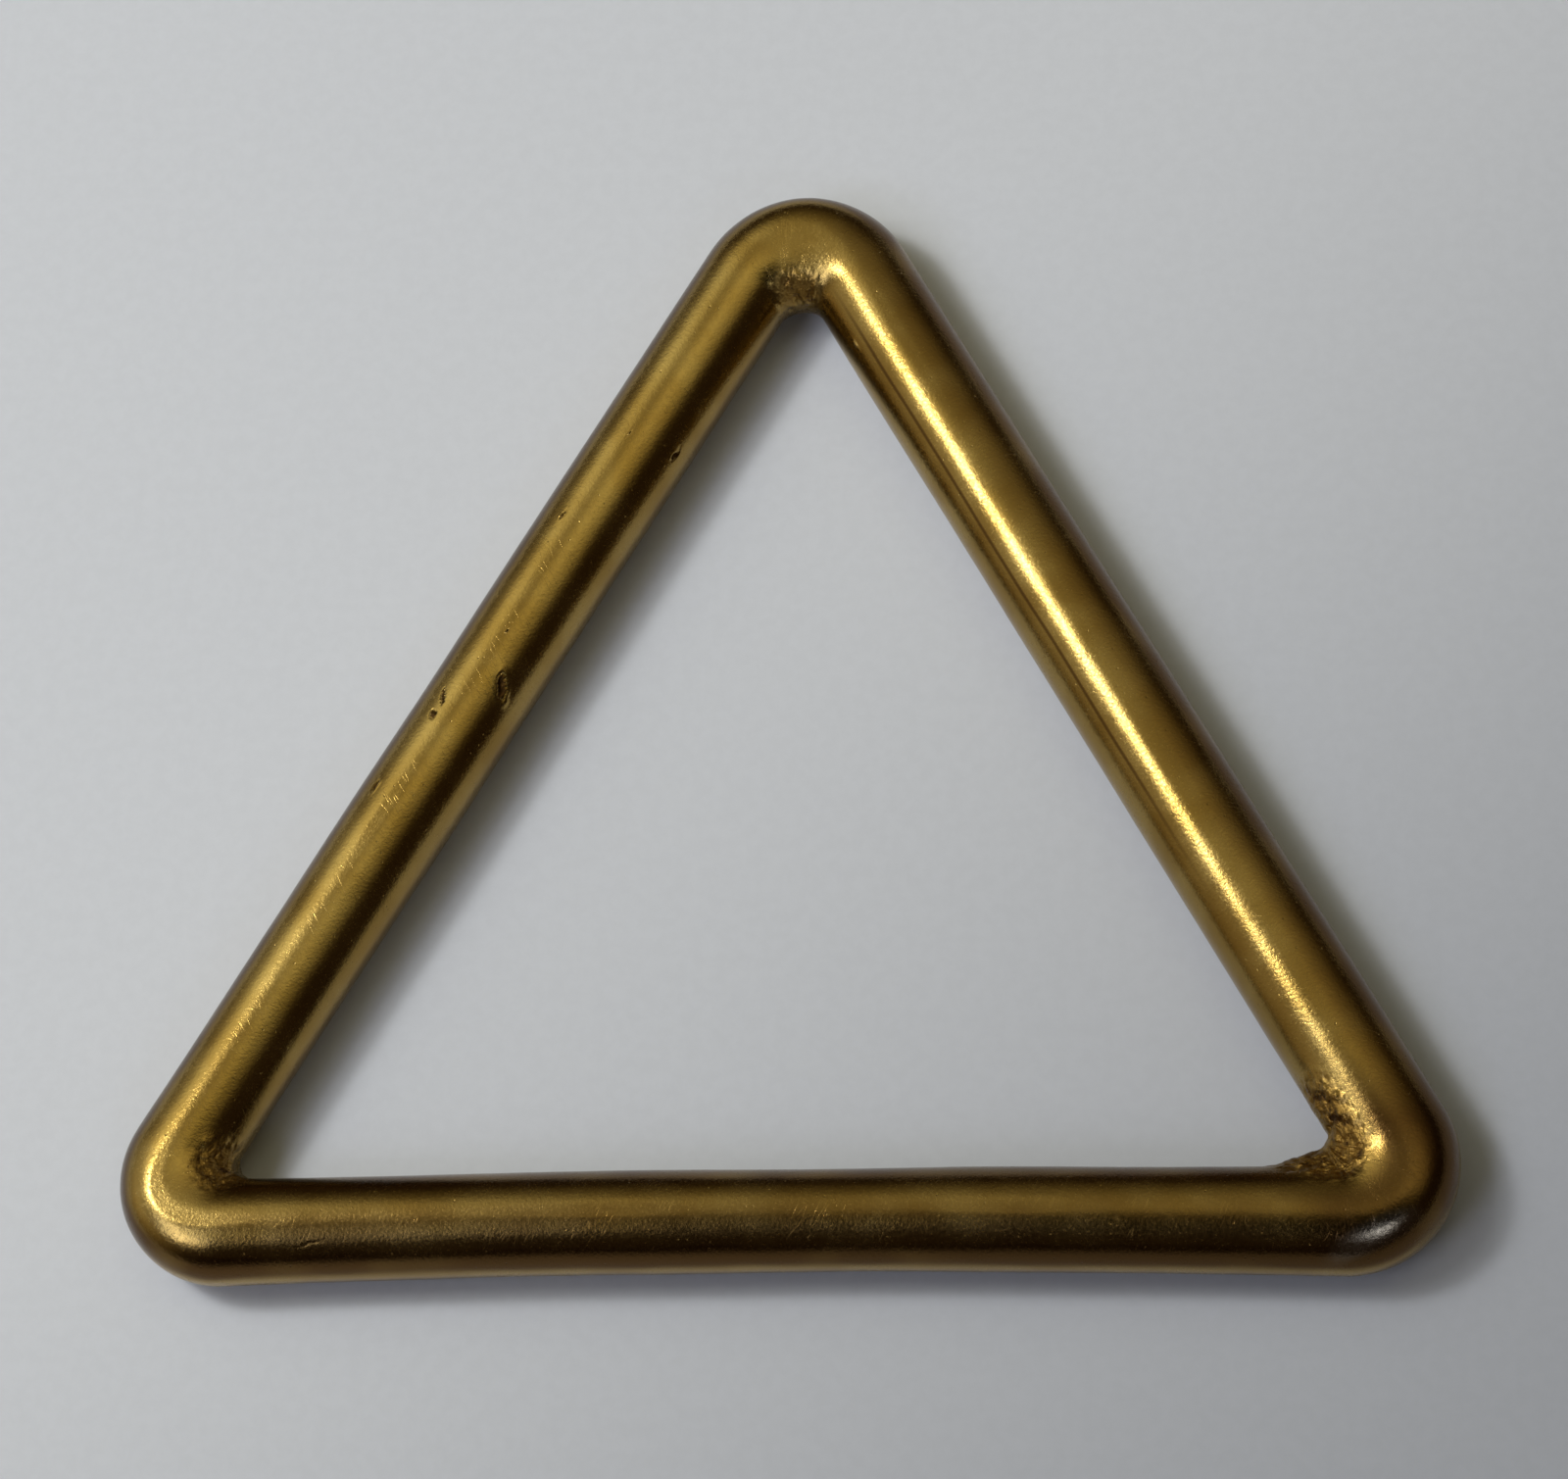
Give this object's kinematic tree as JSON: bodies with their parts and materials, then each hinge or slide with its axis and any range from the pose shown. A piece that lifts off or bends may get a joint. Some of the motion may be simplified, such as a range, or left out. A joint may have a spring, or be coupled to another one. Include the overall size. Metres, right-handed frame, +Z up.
{
  "type": "triangle strap ring",
  "caption": "Closed triangular ring of round cast brass bar, with sharp inner and rounded outer corners, that joins webbing or leather straps on bags, harnesses and garments.",
  "frame": {"origin": "on the surface that the ring lies on, under the middle of its box", "axes": "+X along the base bar, +Y from the base bar to the apex, +Z up out of the plane of the ring"},
  "size_m": [0.0612, 0.0538, 0.0047],
  "materials": {
    "brass": "polished brass, softly worn, with fine scratches and as-cast rough inner corners"
  },
  "bodies": {
    "root": {"triangle_ring": "brass"}
  },
  "joints": []
}
